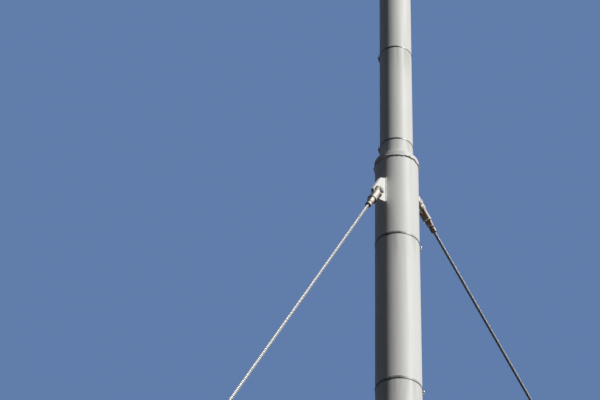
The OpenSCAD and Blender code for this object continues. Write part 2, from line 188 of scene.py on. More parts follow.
class StayLook(bpy.types.PropertyGroup):
    """Sizes and colour of the strands."""

    strand_d: bpy.props.FloatProperty(
        name="Strand", description="Outside diameter of the strand", default=0.0152, min=0.008, max=0.03,
        unit="LENGTH")
    lay: bpy.props.FloatProperty(
        name="Lay", description="Length of strand in which a wire goes once round", default=0.168,
        min=0.08, max=0.3, unit="LENGTH")
    zinc: bpy.props.FloatVectorProperty(
        name="Zinc", description="Colour of the galvanised wires", subtype="COLOR", size=3,
        default=(0.88, 0.88, 0.85), min=0, max=1)


class StageLook(bpy.types.PropertyGroup):
    """Light and background."""

    sky: bpy.props.FloatVectorProperty(
        name="Background", description="Colour behind the object", subtype="COLOR", size=3,
        default=(0.12, 0.205, 0.405), min=0, max=1)
    ground: bpy.props.FloatVectorProperty(
        name="Floor", description="Colour of the floor", subtype="COLOR", size=3,
        default=(0.62, 0.635, 0.66), min=0, max=1)
    key_azimuth: bpy.props.FloatProperty(
        name="Key azimuth", description="Where the key light stands, from the viewer's side",
        default=math.radians(60), subtype="ANGLE")
    key_height: bpy.props.FloatProperty(
        name="Key height", description="Height of the key light above the horizon",
        default=math.radians(41), subtype="ANGLE")
    key_strength: bpy.props.FloatProperty(
        name="Key strength", description="Strength of the key light", default=3.6, min=0, max=10)
    fill_azimuth: bpy.props.FloatProperty(
        name="Fill azimuth", description="Where the soft light stands, from the viewer's side",
        default=math.radians(172), subtype="ANGLE")
    fill_height: bpy.props.FloatProperty(
        name="Fill height", description="Height of the soft light above the horizon",
        default=math.radians(14), subtype="ANGLE")
    fill_strength: bpy.props.FloatProperty(
        name="Fill strength", description="Strength of the soft light", default=1.7, min=0, max=10)


LOOKS = {"mast_look": MastLook, "band_look": BandLook, "stay_look": StayLook, "stage_look": StageLook}


class Wire:
    """A shader socket whose arithmetic adds Math nodes to its finish."""

    def __init__(self, finish, socket):
        self.finish = finish
        self.socket = socket

    def math(self, operation, *values):
        return self.finish.add("ShaderNodeMath", {"operation": operation}, dict(enumerate(values)))

    def __add__(self, other):
        return self.math("ADD", self, other)

    def __mul__(self, other):
        return self.math("MULTIPLY", self, other)

    def __sub__(self, other):
        return self.math("SUBTRACT", self, other)

    def __rsub__(self, other):
        return self.math("SUBTRACT", other, self)

    __radd__ = __add__
    __rmul__ = __mul__

    def between(self, low, high):
        """0 below low, 1 above high and smooth between."""
        return self.finish.add(
            "ShaderNodeMapRange", {"interpolation_type": "SMOOTHSTEP"}, {0: self, 1: low, 2: high})


FINISHES = {}


class Finish:
    """A material being written: add() makes its nodes, and coat() sets its Principled shader."""

    def __init__(self, name):
        self.material = FINISHES[name] = bpy.data.materials.new(f"{name}_finish")
        self.material.use_nodes = True
        self.tree = self.material.node_tree
        self.shader = self.tree.nodes["Principled BSDF"]
        self.object_space = self.add("ShaderNodeTexCoord", {}, {}, "Object")

    def add(self, kind, settings, sockets, out=0):
        node = self.tree.nodes.new(kind)
        for key, value in settings.items():
            setattr(node, key, value)
        self.feed(node, sockets)
        return Wire(self, node.outputs[out])

    def feed(self, node, sockets):
        for key, value in sockets.items():
            socket = node.inputs[key]
            if isinstance(value, Wire):
                self.tree.links.new(value.socket, socket)
            elif socket.type == "RGBA":
                socket.default_value = (*value, 1)
            else:
                socket.default_value = value

    def stretched(self, x, y, z):
        """Object coordinates, scaled along each axis."""
        return self.add("ShaderNodeMapping", {}, {"Vector": self.object_space, "Scale": (x, y, z)})

    def noise(self, scale, detail=4.0, vector=None, roughness=0.5):
        return self.add("ShaderNodeTexNoise", {"noise_dimensions": "3D"}, {
            "Vector": vector or self.object_space, "Scale": scale, "Detail": detail, "Roughness": roughness})

    def mix(self, factor, a, b):
        return self.add("ShaderNodeMix", {"data_type": "RGBA"}, {0: factor, 6: a, 7: b}, 2)

    def height(self):
        return self.add("ShaderNodeSeparateXYZ", {}, {0: self.object_space}, "Z")

    def line(self, distance, inner, outer):
        """1 where a distance is under inner either way, falling to 0 at outer."""
        return 1 - distance.math("ABSOLUTE", distance).between(inner, outer)

    def stay_axis(self, stay, axis):
        """Object coordinates turned into a stay's own axes, along one of them."""
        place = stay.place()
        own = self.add("ShaderNodeMapping", {"vector_type": "TEXTURE"}, {
            "Vector": self.object_space, "Location": place.translation, "Rotation": place.to_euler()})
        return self.add("ShaderNodeSeparateXYZ", {}, {0: own}, axis)

    def from_fork(self, stay):
        """Distance from the outline of a fork's ears, which run down from round its upper pin."""
        across, along = (self.stay_axis(stay, axis) for axis in "YZ")
        above = along.math("MINIMUM", along, 0.0)
        return across.math("SQRT", across * across + above * above) - EAR_R

    def facing(self, direction):
        """1 where the surface faces a direction, 0 across it and -1 away from it."""
        normal = self.add("ShaderNodeNewGeometry", {}, {}, "Normal")
        return self.add(
            "ShaderNodeVectorMath", {"operation": "DOT_PRODUCT"}, {0: normal, 1: direction}, "Value")

    def glare_side(self):
        """1 on the side of the mast towards the key light, where dark marks are painted paler as a painted
        highlight, 0 on the others.
        """
        return self.facing(GLARE_SIDE).between(0.76, 0.92)

    def attribute(self, name):
        return self.add("ShaderNodeAttribute", {"attribute_name": name}, {}, "Fac")

    def bump(self, height, strength, distance):
        return self.add("ShaderNodeBump", {}, {
            "Height": height, "Strength": strength, "Distance": distance}, "Normal")

    def coat(self, **sockets):
        names = {"colour": "Base Color", "specular": "Specular IOR Level"}
        self.feed(self.shader, {names.get(k, k.replace("_", " ").title()): v for k, v in sockets.items()})
        return self.material


def shades(colour, factor):
    return tuple(channel * factor for channel in colour)


def paint_finish(name, colour, wear, grime_and_shade, straps=None, stay=None):
    """Off-white gloss paint over rolled steel: rain streaks, soft dulling and a fine orange peel.

    On a tube, straps are the height, spacing and width of its bands. Broken lines of dirt and painted shade
    run along them and under the collar's seam, painted paler towards the key light as a highlight. On a lug,
    a painted shade rings the fork of its stay.
    """
    f = Finish(name)
    rain = f.noise(1.0, 5, f.stretched(38, 38, 1.6), 0.6)
    streak = rain.between(0.46, 0.76)
    cloud = f.noise(3.2, 3, f.stretched(1, 1, 0.35)).between(0.35, 0.75)
    speck = f.noise(160, 2).between(0.70, 0.78)
    tone = f.mix(cloud * (0.45 * wear), colour, shades(colour, 0.84))
    tone = f.mix(streak * (0.40 * wear), tone, (0.40, 0.39, 0.35))
    tone = f.mix(speck * (0.5 * wear), tone, grime_and_shade)
    if straps:
        first, pitch, width = straps
        from_first = f.height() - first
        above = from_first.math("WRAP", from_first, pitch / 2, -pitch / 2)
        below = 0 - above
        dirt = f.noise(1.0, 4, f.stretched(24, 24, 60), 0.6)
        dash = f.noise(1.0, 3, f.stretched(58, 58, 40), 0.6)
        # Dark marks fade towards the key light: a painted highlight
        kept = 1 - f.glare_side() * 0.85
        # Broken dark lines along both edges of each strap: dirt and painted shade
        edges = f.line(above, width / 2, width / 2 + 0.004) * dirt.between(0.42, 0.60)
        tone = f.mix(edges * kept, tone, grime_and_shade)
        drip = below.between(0.0, 0.01) * (1 - below.between(0.02, 0.22))
        tone = f.mix(drip * rain.between(0.40, 0.62) * (0.7 * wear), tone, (0.24, 0.23, 0.20))
        # Broken dark dashes just under the collar's lip: dirt and painted shade
        seam = f.line(f.height() - (RIM_Z - 0.005), 0.0020, 0.0042) * dash.between(0.50, 0.56)
        tone = f.mix(seam * kept, tone, shades(grime_and_shade, 0.5))
    if stay:
        # A broken ring of painted shade round the fork's ears on the lug
        broken = f.noise(150, 3).between(0.30, 0.46)
        tone = f.mix(f.line(f.from_fork(stay) - 0.0012, 0.0016, 0.0036) * broken, tone, grime_and_shade)
    peel = f.noise(420, 2) * 0.4 + f.noise(28, 3, f.stretched(1, 1, 0.4))
    return f.coat(
        colour=tone, roughness=0.50 + streak * 0.12 + cloud * 0.08,
        normal=f.bump(peel, 0.18, 0.0012), specular=0.25)


def weld_finish(name, colour, grime_and_shade):
    """Painted weld metal: dirt, rust and painted shade between its ripples, faded by a painted highlight
    towards the key.
    """
    f = Finish(name)
    hollow = 1 - f.attribute("crest").between(0.62, 0.92)
    dirt = f.noise(42, 4, None, 0.6).between(0.43, 0.55)
    rust = f.noise(45, 3).between(0.50, 0.66)
    glare_side = f.glare_side()
    # Dirt and painted shade in the hollows between ripples, paler towards the key light as a painted
    # highlight
    tone = f.mix(hollow * (0.08 + dirt * 0.66) * (1 - glare_side * 0.8), colour, grime_and_shade)
    # Rust, more in the hollows, also paler towards the key light as a painted highlight
    tone = f.mix(rust * (0.08 + hollow * 0.45) * (1 - glare_side * 0.6), tone, (0.17, 0.068, 0.028))
    return f.coat(
        colour=tone, roughness=0.52 + hollow * 0.3, specular=0.4,
        normal=f.bump(f.noise(300, 3), 0.5, 0.0006))


def galvanised_finish(
        name, base, dark, roughness, metallic, stain_and_shade_colour=(0.24, 0.145, 0.075), stain_and_shade=0.6, stay=None):
    """Zinc with spangle, dull patches, and a mottled brown on what faces down: stain and painted shade.

    On a stay's sockets, a painted shade darkens the side that its direction gives, and the nose's groove.
    """
    f = Finish(name)
    spangle = f.add("ShaderNodeTexVoronoi", {"feature": "F1"}, {
        "Vector": f.object_space, "Scale": 120.0, "Randomness": 1.0}, "Color")
    grain = f.add("ShaderNodeSeparateColor", {}, {0: spangle}, 0)
    patch = f.noise(22, 4).between(0.42, 0.70)
    # What faces down turns a mottled brown: rust stain and painted shade
    under = f.facing((0, 0, -1)).between(0.12, 0.36)
    stain = f.noise(34, 4, None, 0.6).between(0.24, 0.48)
    tone = f.mix(grain * 0.35, base, shades(base, 0.72))
    tone = f.mix(patch * 0.32, tone, dark)
    mottle = f.noise(95, 2).between(0.43, 0.55)
    tone = f.mix(under * stain * stain_and_shade, tone, f.mix(mottle, stain_and_shade_colour, shades(stain_and_shade_colour, 0.2)))
    if stay:
        # Painted shade in the nose's groove
        groove = f.line(f.stay_axis(stay, "Z") - NOSE_GROOVE, 0.0028, 0.0042)
        # Painted shade on that side of the socket
        painted_shade = f.facing(stay.shaded_side).between(0.22, 0.60)
        tone = f.mix(painted_shade.math("MAXIMUM", painted_shade * 0.85, groove * 0.95), tone, (0.018, 0.014, 0.011))
    return f.coat(
        colour=tone, metallic=metallic, roughness=roughness + patch * 0.14 + grain * 0.05,
        normal=f.bump(grain * 0.4 + f.noise(260, 3), 0.12, 0.0006), specular=0.5)


def strand_finish(name, zinc):
    """Bright wires, with painted shade down their sides, in the lay between them and on what faces down."""
    f = Finish(name)
    # Painted shade down each wire's sides and in the lay between the wires
    groove = 1 - f.attribute("lay_height").between(0.56, 0.96)
    patch = f.noise(60, 3).between(0.45, 0.75)
    tone = f.mix(patch * 0.2, zinc, (0.50, 0.45, 0.38))
    # Painted shade on what faces down
    under = f.facing((0, 0, -1)).between(0.05, 0.45)
    dark = groove.math("MAXIMUM", groove * 0.97, under * 0.86)
    tone = f.mix(dark, tone, (0.014, 0.012, 0.010))
    return f.coat(
        colour=tone, metallic=0.55 - dark * 0.4, roughness=0.36 + dark * 0.4, specular=0.4,
        normal=f.bump(f.noise(700, 2), 0.1, 0.0003))


def strap_finish(name, colour, centre, gloss):
    """Black coated strap, rubbed grey above its middle, dusty; painted shade low, painted highlight towards
    the key.
    """
    f = Finish(name)
    middle = f.attribute("across").between(0.30, 0.60)
    rubbed = f.noise(110, 4, f.stretched(1, 1, 0.5), 0.6).between(0.40, 0.62)
    dust = f.noise(90, 3).between(0.45, 0.75)
    tone = f.mix(middle * (0.35 + rubbed * 0.65), colour, centre)
    # Paler towards the key light: a painted highlight
    tone = f.mix(f.glare_side() * (0.35 + middle * 0.5), tone, (0.58, 0.58, 0.57))
    tone = f.mix(dust * 0.15, tone, (0.16, 0.15, 0.14))
    return f.coat(
        colour=tone, roughness=0.39 + dust * 0.08, specular=gloss,
        normal=f.bump(f.noise(500, 2), 0.1, 0.0002))


def nylon_finish(name, colour):
    """Dark plastic or tar, dulled by dust."""
    f = Finish(name)
    dust = f.noise(70, 4).between(0.42, 0.72)
    tone = f.mix(dust * 0.4, colour, (0.15, 0.145, 0.14))
    return f.coat(
        colour=tone, roughness=0.45 + dust * 0.25, specular=0.4,
        normal=f.bump(f.noise(600, 2), 0.15, 0.0002))


def aluminium_finish(name):
    """Spun and cast aluminium with turning marks round the axis."""
    f = Finish(name)
    turned = f.noise(1.0, 3, f.stretched(3, 3, 900))
    cloud = f.noise(9, 3).between(0.4, 0.75)
    tone = f.mix(cloud * 0.4, (0.66, 0.66, 0.65), (0.46, 0.46, 0.45))
    return f.coat(
        colour=tone, metallic=0.6, roughness=0.36 + cloud * 0.14 + turned * 0.08,
        normal=f.bump(turned, 0.06, 0.0004), specular=0.5)


def deselect_all():
    if bpy.context.mode != "OBJECT":
        bpy.ops.object.mode_set(mode="OBJECT")
    bpy.ops.object.select_all(action="DESELECT")


def select(*pieces):
    deselect_all()
    for piece in pieces:
        piece.select_set(True)
    bpy.context.view_layer.objects.active = pieces[0]


def flatten(piece):
    """Takes a piece's place, turn and scale into its mesh."""
    select(piece)
    bpy.ops.object.transform_apply(location=True, rotation=True, scale=True)
    return piece


def join(pieces):
    select(*pieces)
    bpy.ops.object.join()
    return flatten(bpy.context.object)


def repeat(piece, places):
    """Copies a modelled piece to each place, and joins the copies into one."""
    copies = []
    for place in places:
        copy = piece.copy()
        copy.data = piece.data.copy()
        bpy.context.collection.objects.link(copy)
        copy.matrix_world = place
        copies.append(copy)
    bpy.data.objects.remove(piece)
    return join(copies)


def modify(piece, kind, **settings):
    """Adds a modifier and applies it."""
    select(piece)
    modifier = piece.modifiers.new(kind.title(), kind)
    for key, value in settings.items():
        setattr(modifier, key, value)
    bpy.ops.object.modifier_apply(modifier=modifier.name)
    return piece


def soften(piece, width, segments=2, degrees=32):
    """Rounds a piece's sharp edges and shades it smooth."""
    modify(piece, "BEVEL", width=width, segments=segments, limit_method="ANGLE",
           angle_limit=math.radians(degrees))
    bpy.ops.object.shade_smooth_by_angle(angle=math.radians(degrees))
    return modify(piece, "WEIGHTED_NORMAL", keep_sharp=True, weight=80)


def settle(piece, name, finish, place=None):
    """Names a modelled piece, moves it into the frame, rides it on the mast and gives it its finish."""
    if place is not None:
        piece.matrix_world = place
    flatten(piece)
    piece.name = name
    piece.data.name = name
    piece.data.materials.clear()
    piece.data.materials.append(FINISHES[finish])
    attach(piece, "root")
    return piece


def cylinder(radius, depth, place=None, sides=32):
    """A rod along Z from its place."""
    deselect_all()
    bpy.ops.mesh.primitive_cylinder_add(
        vertices=sides, radius=radius, depth=depth, location=(0, 0, depth / 2))
    rod = flatten(bpy.context.object)
    if place is not None:
        rod.matrix_world = place
    return flatten(rod)


def block(size, centre, place=None):
    deselect_all()
    bpy.ops.mesh.primitive_cube_add(size=1, location=centre)
    piece = bpy.context.object
    piece.scale = size
    flatten(piece)
    if place is not None:
        piece.matrix_world = place
    return flatten(piece)


def wound(sections, steps, pitch, length):
    """Sections wound about Z over a length, with their ends closed: a strand's lay or a screw's thread."""
    turns = max(1, round(length / pitch))
    piece = join(sections)
    modify(piece, "SCREW", axis="Z", angle=2 * math.pi, screw_offset=length / turns, iterations=turns,
           steps=steps, render_steps=steps, use_smooth_shade=True)
    bpy.ops.object.mode_set(mode="EDIT")
    bpy.ops.mesh.select_all(action="DESELECT")
    bpy.ops.mesh.select_non_manifold()
    bpy.ops.mesh.edge_face_add()
    bpy.ops.mesh.select_all(action="SELECT")
    bpy.ops.mesh.normals_make_consistent(inside=False)
    bpy.ops.object.mode_set(mode="OBJECT")
    return piece


def section(sides, radius, location, rotation=(0, 0, 0)):
    deselect_all()
    bpy.ops.mesh.primitive_circle_add(
        vertices=sides, radius=radius, fill_type="NOTHING", location=location, rotation=rotation)
    return bpy.context.object


def thread(diameter, length):
    """The ridge of a screw's thread, standing on a rod of its diameter, from z = 0."""
    sunk = 0.0003
    ridge = section(4, THREAD_PITCH * 0.36, (diameter / 2 - sunk, 0, 0), (math.pi / 2, 0, 0))
    return wound([ridge], 16, THREAD_PITCH, length)


def point_values(piece, name, value_of):
    """Stores a number for each point of a piece, for its finish to read."""
    layer = piece.data.attributes.new(name, "FLOAT", "POINT")
    for vertex, item in zip(piece.data.vertices, layer.data):
        item.value = value_of(vertex.co)


def ring_path(radius, z, step):
    """Points round the mast at about a step, each with its direction."""
    count = round(2 * math.pi * radius / step)
    return [
        (Vector((radius * math.cos(a), radius * math.sin(a), z)), Vector((-math.sin(a), math.cos(a), 0)))
        for a in (2 * math.pi * i / count for i in range(count))]


def line_path(turn, a, b, step=RIPPLE_STEP):
    """Points from a to b at about a step, each with its direction, carried by a matrix."""
    a, b = turn @ Vector(a), turn @ Vector(b)
    count = max(1, round((b - a).length / step))
    return [(a.lerp(b, (i + 0.5) / count), (b - a).normalized()) for i in range(count)]


def dressed(node, finish, width):
    """A copy of a CAD node with rounded edges and smooth shading, which stands for it."""
    piece = bpy.data.objects.new(f"{node}_dressed", frame["nodes"][node].data.copy())
    bpy.context.collection.objects.link(piece)
    select(piece)
    bpy.ops.mesh.customdata_custom_splitnormals_clear()
    bpy.ops.object.mode_set(mode="EDIT")
    bpy.ops.mesh.select_all(action="SELECT")
    bpy.ops.mesh.remove_doubles(threshold=0.00002)
    bpy.ops.mesh.dissolve_limited(angle_limit=math.radians(0.5))
    bpy.ops.object.mode_set(mode="OBJECT")
    soften(piece, width)
    settle(piece, f"{node}_dressed", finish)
    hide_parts(node)
    return piece


class FLAGPOLE_OT_finishes(bpy.types.Operator):
    """Write the finishes and give the CAD nodes theirs"""

    bl_idname = "flagpole.finishes"
    bl_label = "Write the finishes"

    def execute(self, context):
        look = context.scene.mast_look
        wear, grime_and_shade, paint = look.wear, tuple(look.grime_and_shade), tuple(look.paint)
        band = context.scene.band_look
        paint_finish("mast_paint", paint, wear, grime_and_shade)
        paint_finish("lower_paint", paint, wear, grime_and_shade, straps=(LOWER_BANDS[0], LOWER_PITCH, band.lower_w))
        paint_finish("upper_paint", paint, wear, grime_and_shade, straps=(UPPER_BANDS[0], UPPER_PITCH, band.upper_w))
        for stay in STAYS:
            paint_finish(f"{stay.name}_lug_paint", tuple(look.lug_paint), wear * 0.3, grime_and_shade, stay=stay)
        weld_finish("weld", paint, grime_and_shade)
        strap_finish("band_black", (0.022, 0.022, 0.025), (0.035, 0.035, 0.038), gloss=0.6)
        strap_finish("band_worn", (0.018, 0.018, 0.02), (0.46, 0.46, 0.45), gloss=0.25)
        galvanised_finish(
            "galvanised", (0.54, 0.54, 0.52), (0.27, 0.26, 0.24), roughness=0.36, metallic=0.5)
        for stay in STAYS:
            galvanised_finish(
                f"{stay.name}_fork_steel", (0.86, 0.81, 0.72), (0.34, 0.27, 0.18), roughness=0.38,
                metallic=0.1, stain_and_shade_colour=(0.135, 0.064, 0.024), stain_and_shade=1.0, stay=stay)
        galvanised_finish(
            "pin_steel", (0.60, 0.57, 0.51), (0.25, 0.22, 0.18), roughness=0.34, metallic=0.45)
        galvanised_finish(
            "bright_steel", (0.62, 0.61, 0.59), (0.36, 0.34, 0.31), roughness=0.28, metallic=0.7)
        aluminium_finish("bare_aluminium")
        nylon_finish("nylon", (0.05, 0.05, 0.055))
        nylon_finish("tar", (0.014, 0.012, 0.011))
        strand_finish("strand_steel", tuple(context.scene.stay_look.zinc))
        for part in frame["record"]["subparts"]:
            node = frame["nodes"][part["node"]]
            node.data.materials.clear()
            node.data.materials.append(FINISHES[part["material_slot"]])
        return {"FINISHED"}


class FLAGPOLE_OT_mast(bpy.types.Operator):
    """Dress the tubes, collar, base, lugs, cap, sheave, finial and cleat"""

    bl_idname = "flagpole.mast"
    bl_label = "Dress the mast"

    def execute(self, context):
        dressed("lower_tube", "lower_paint", 0.0008)
        dressed("upper_tube", "upper_paint", 0.0008)
        for node, width in (
                ("collar", 0.0008), ("base_flange", 0.002), ("base_gussets", 0.0012), ("top_cap", 0.0015),
                ("truck_cheeks", 0.001)):
            dressed(node, "mast_paint", width)
        for stay in STAYS:
            dressed(f"{stay.name}_lug", f"{stay.name}_lug_paint", 0.0012)
        dressed("truck_sheave", "nylon", 0.0008)
        dressed("sheave_pin", "bright_steel", 0.001)
        dressed("finial_stem", "bare_aluminium", 0.001)
        dressed("finial_ball", "bare_aluminium", 0.0005)
        self.cleat()
        return {"FINISHED"}

    def cleat(self):
        """The cleat as one casting, with its corners blended."""
        piece = dressed("cleat", "bare_aluminium", 0.0015)
        modify(piece, "REMESH", mode="VOXEL", voxel_size=0.0016, use_smooth_shade=True)
        modify(piece, "SMOOTH", factor=0.5, iterations=7)


class FLAGPOLE_OT_welds(bpy.types.Operator):
    """Lay the rippled weld beads of the collar, lugs, gussets, flange, cheeks and anchors"""

    bl_idname = "flagpole.welds"
    bl_label = "Lay the welds"

    def execute(self, context):
        self.chance = random.Random(11)
        rim = ring_path(LOWER_R + 0.0008, RIM_Z, 0.0032)
        cone = ring_path(UPPER_R + 0.0015, COLLAR_TOP + 0.001, 0.0032)
        foot = ring_path(LOWER_R + 0.001, FLANGE_TOP + 0.001, 0.0034)
        self.bead("collar_weld", rim, size=0.0044, scatter=0.5, wander=0.0034)
        self.bead("cone_weld", cone, size=0.0046, scatter=0.2)
        self.bead("flange_weld", foot, size=0.005, scatter=0.15)
        self.gussets()
        self.lugs()
        self.cheeks()
        self.anchors()
        return {"FINISHED"}

    def bead(self, name, path, size, scatter, wander=0.0, finish="weld", slot="mast_paint"):
        """Overlapping rounded ripples along a path of points and directions.

        They vary in size by the scatter, and drift up and down by up to the wander.
        """
        deselect_all()
        bpy.ops.mesh.primitive_uv_sphere_add(segments=8, ring_count=5, radius=size)
        ripple = bpy.context.object
        bpy.ops.object.shade_smooth()
        point_values(ripple, "crest", lambda co: 1 - abs(co.x) / size)
        places = []
        tilt = Matrix.Rotation(math.radians(20), 4, "Y")
        stride = 4
        drifts, bulges = (
            [self.chance.uniform(-reach, reach) for _ in range(len(path) // stride + 2)]
            for reach in (wander, wander / size * 0.6))
        for i, (point, along) in enumerate(path):
            turn = along.to_track_quat("X", "Z").to_matrix().to_4x4() @ tilt
            step, part = i // stride, i % stride / stride
            drift, bulge = (w[step] + (w[step + 1] - w[step]) * part for w in (drifts, bulges))
            swell = 1 + bulge + scatter * self.chance.uniform(-0.5, 0.5)
            lift = Vector((0, 0, drift + self.chance.uniform(-0.5, 0.5) * scatter * size))
            places.append(Matrix.Translation(point + lift) @ turn @ Matrix.Diagonal((1.05, swell, swell, 1)))
        settle(repeat(ripple, places), name, finish)

    def gussets(self):
        """Seams along the foot and up the back of each gusset, on both its faces."""
        path = []
        half_t, reach, foot = 0.006, 0.216, FLANGE_TOP + 0.001
        for i in range(8):
            turn = Matrix.Rotation(i * math.pi / 4, 4, "Z")
            for side in (-1, 1):
                y = side * (half_t + 0.001)
                x = math.sqrt((LOWER_R + 0.001) ** 2 - y ** 2)
                path += line_path(turn, (LOWER_R + 0.014, y, foot), (reach - 0.002, y, foot))
                path += line_path(turn, (x, y, FLANGE_TOP + 0.026), (x, y, GUSSET_TOP - 0.002))
        self.bead("gusset_welds", path, size=0.0038, scatter=0.15)

    def lugs(self):
        """Seams down both faces of each lug and across its top."""
        for stay in STAYS:
            low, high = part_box(f"{stay.name}_lug")
            turn = around_mast(stay.azimuth)
            path = []
            stand = 0.0015
            y = LUG_T / 2 + stand
            x = math.sqrt(LOWER_R ** 2 - y ** 2) + stand
            for side in (-1, 1):
                path += line_path(turn, (x, side * y, low.z + 0.022), (x, side * y, high.z))
            top_x, top_z = LOWER_R + 0.001, high.z + 0.001
            path += line_path(turn, (top_x, -y, top_z), (top_x, y, top_z))
            self.bead(f"{stay.name}_lug_weld", path, size=0.0036, scatter=0.25, wander=0.0012)

    def cheeks(self):
        """Seams up the outer faces of the sheave's cheeks, on the cap."""
        turn = around_mast(BACK_SIDE)
        cap_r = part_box("top_cap")[1].x
        half_spread = 0.017
        path = []
        for side in (-1, 1):
            y = side * half_spread
            x = math.sqrt(cap_r ** 2 - y ** 2) + 0.001
            path += line_path(turn, (x, y, TOP_Z - 0.057), (x, y, TOP_Z - 0.003), step=0.0024)
        self.bead("cheek_welds", path, size=0.003, scatter=0.15)

    def anchors(self):
        """Seams along the foot of each anchor lug, on both its faces."""
        half_l, foot = 0.074, ANCHOR_TOP + 0.001
        for stay in STAYS:
            turn = stay.anchor()
            path = []
            for side in (-1, 1):
                y = side * (LUG_T / 2 + 0.001)
                path += line_path(turn, (-half_l, y, foot), (half_l, y, foot))
            self.bead(f"{stay.name}_anchor_weld", path, size=0.004, scatter=0.15, finish="galvanised",
                      slot="galvanised")


class FLAGPOLE_OT_bands(bpy.types.Operator):
    """Strap the clamp bands round both tubes"""

    bl_idname = "flagpole.bands"
    bl_label = "Strap the bands"

    def execute(self, context):
        look = context.scene.band_look
        self.straps("upper_bands", UPPER_R, look.upper_w, look.thickness, UPPER_BANDS, "band_black")
        self.straps("lower_bands", LOWER_R, look.lower_w, look.thickness, LOWER_BANDS, "band_worn")
        self.buckles("upper_buckles", UPPER_R, look.upper_w, math.radians(-100), UPPER_BANDS,
                     "band_black", "band_black")
        self.buckles("lower_buckles", LOWER_R, look.lower_w, math.radians(105), LOWER_BANDS,
                     "galvanised", "bright_steel")
        return {"FINISHED"}

    def straps(self, node, radius, width, thickness, heights, finish):
        """Rings with rolled edges, spun from one section."""
        deselect_all()
        bpy.ops.mesh.primitive_plane_add(size=1, rotation=(math.pi / 2, 0, 0))
        strap = bpy.context.object
        strap.scale = (thickness, width, 1)
        flatten(strap)
        strap.location.x = radius + thickness / 2 - 0.0002
        flatten(strap)
        bpy.ops.object.mode_set(mode="EDIT")
        bpy.ops.mesh.select_all(action="SELECT")
        bpy.ops.mesh.bevel(offset=thickness * 0.4, segments=2, affect="VERTICES")
        bpy.ops.mesh.select_all(action="SELECT")
        bpy.ops.mesh.delete(type="ONLY_FACE")
        bpy.ops.object.mode_set(mode="OBJECT")
        for edge in strap.data.edges:
            low, high = (strap.data.vertices[i].co.z for i in edge.vertices)
            edge.select = abs(high - low) > width / 2
        bpy.ops.object.mode_set(mode="EDIT")
        bpy.ops.mesh.subdivide(number_cuts=6)
        bpy.ops.mesh.select_all(action="SELECT")
        bpy.ops.mesh.spin(steps=96, angle=2 * math.pi, center=(0, 0, 0), axis=(0, 0, 1))
        bpy.ops.mesh.select_all(action="SELECT")
        bpy.ops.mesh.remove_doubles(threshold=0.00001)
        bpy.ops.mesh.normals_make_consistent(inside=False)
        bpy.ops.object.mode_set(mode="OBJECT")
        bpy.ops.object.shade_smooth_by_angle(angle=math.radians(50))
        # The rubbed middle stands above the strap's centre, so the lower edge stays dark as a painted shade
        rub_centre, rub_reach = 0.15, 0.65
        point_values(strap, "across", lambda co: 1 - abs(co.z / width - rub_centre) / rub_reach)
        piece = settle(
            repeat(strap, [Matrix.Translation((0, 0, z)) for z in heights]), f"{node}_straps", finish)
        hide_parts(node)

    def buckles(self, name, radius, width, azimuth, heights, finish, slot):
        """Worm clamps: housing, slotted hexagon screw and the strap's loose end."""
        out, wide = radius + 0.0014, width + 0.005
        screw_x, head_y = out + 0.0038, -0.0225
        lay_down = Matrix.Rotation(-math.pi / 2, 4, "X")
        housing = soften(block((0.0078, 0.024, wide), (out + 0.0037, 0, 0)), 0.0016, 3)
        screw = soften(
            cylinder(0.0028, 0.034, Matrix.Translation((screw_x, -0.017, 0)) @ lay_down, 20), 0.0005)
        head = soften(
            cylinder(0.0042, 0.006, Matrix.Translation((screw_x, head_y, 0)) @ lay_down, 6), 0.0006)
        slit = block((0.0012, 0.0025, 0.0095), (screw_x, head_y, 0))
        modify(head, "BOOLEAN", object=slit, operation="DIFFERENCE", solver="EXACT")
        bpy.data.objects.remove(slit)
        hinge = Matrix.Translation((out, 0.012, 0))
        tail = soften(block(
            (0.0012, 0.028, width * 0.92), (0.0012, 0.013, 0),
            hinge @ Matrix.Rotation(math.radians(3), 4, "Z")), 0.0003)
        clamp = join([housing, screw, head, tail])
        turn = around_mast(azimuth)
        places = [Matrix.Translation((0, 0, z)) @ turn for z in heights]
        settle(repeat(clamp, places), name, finish)


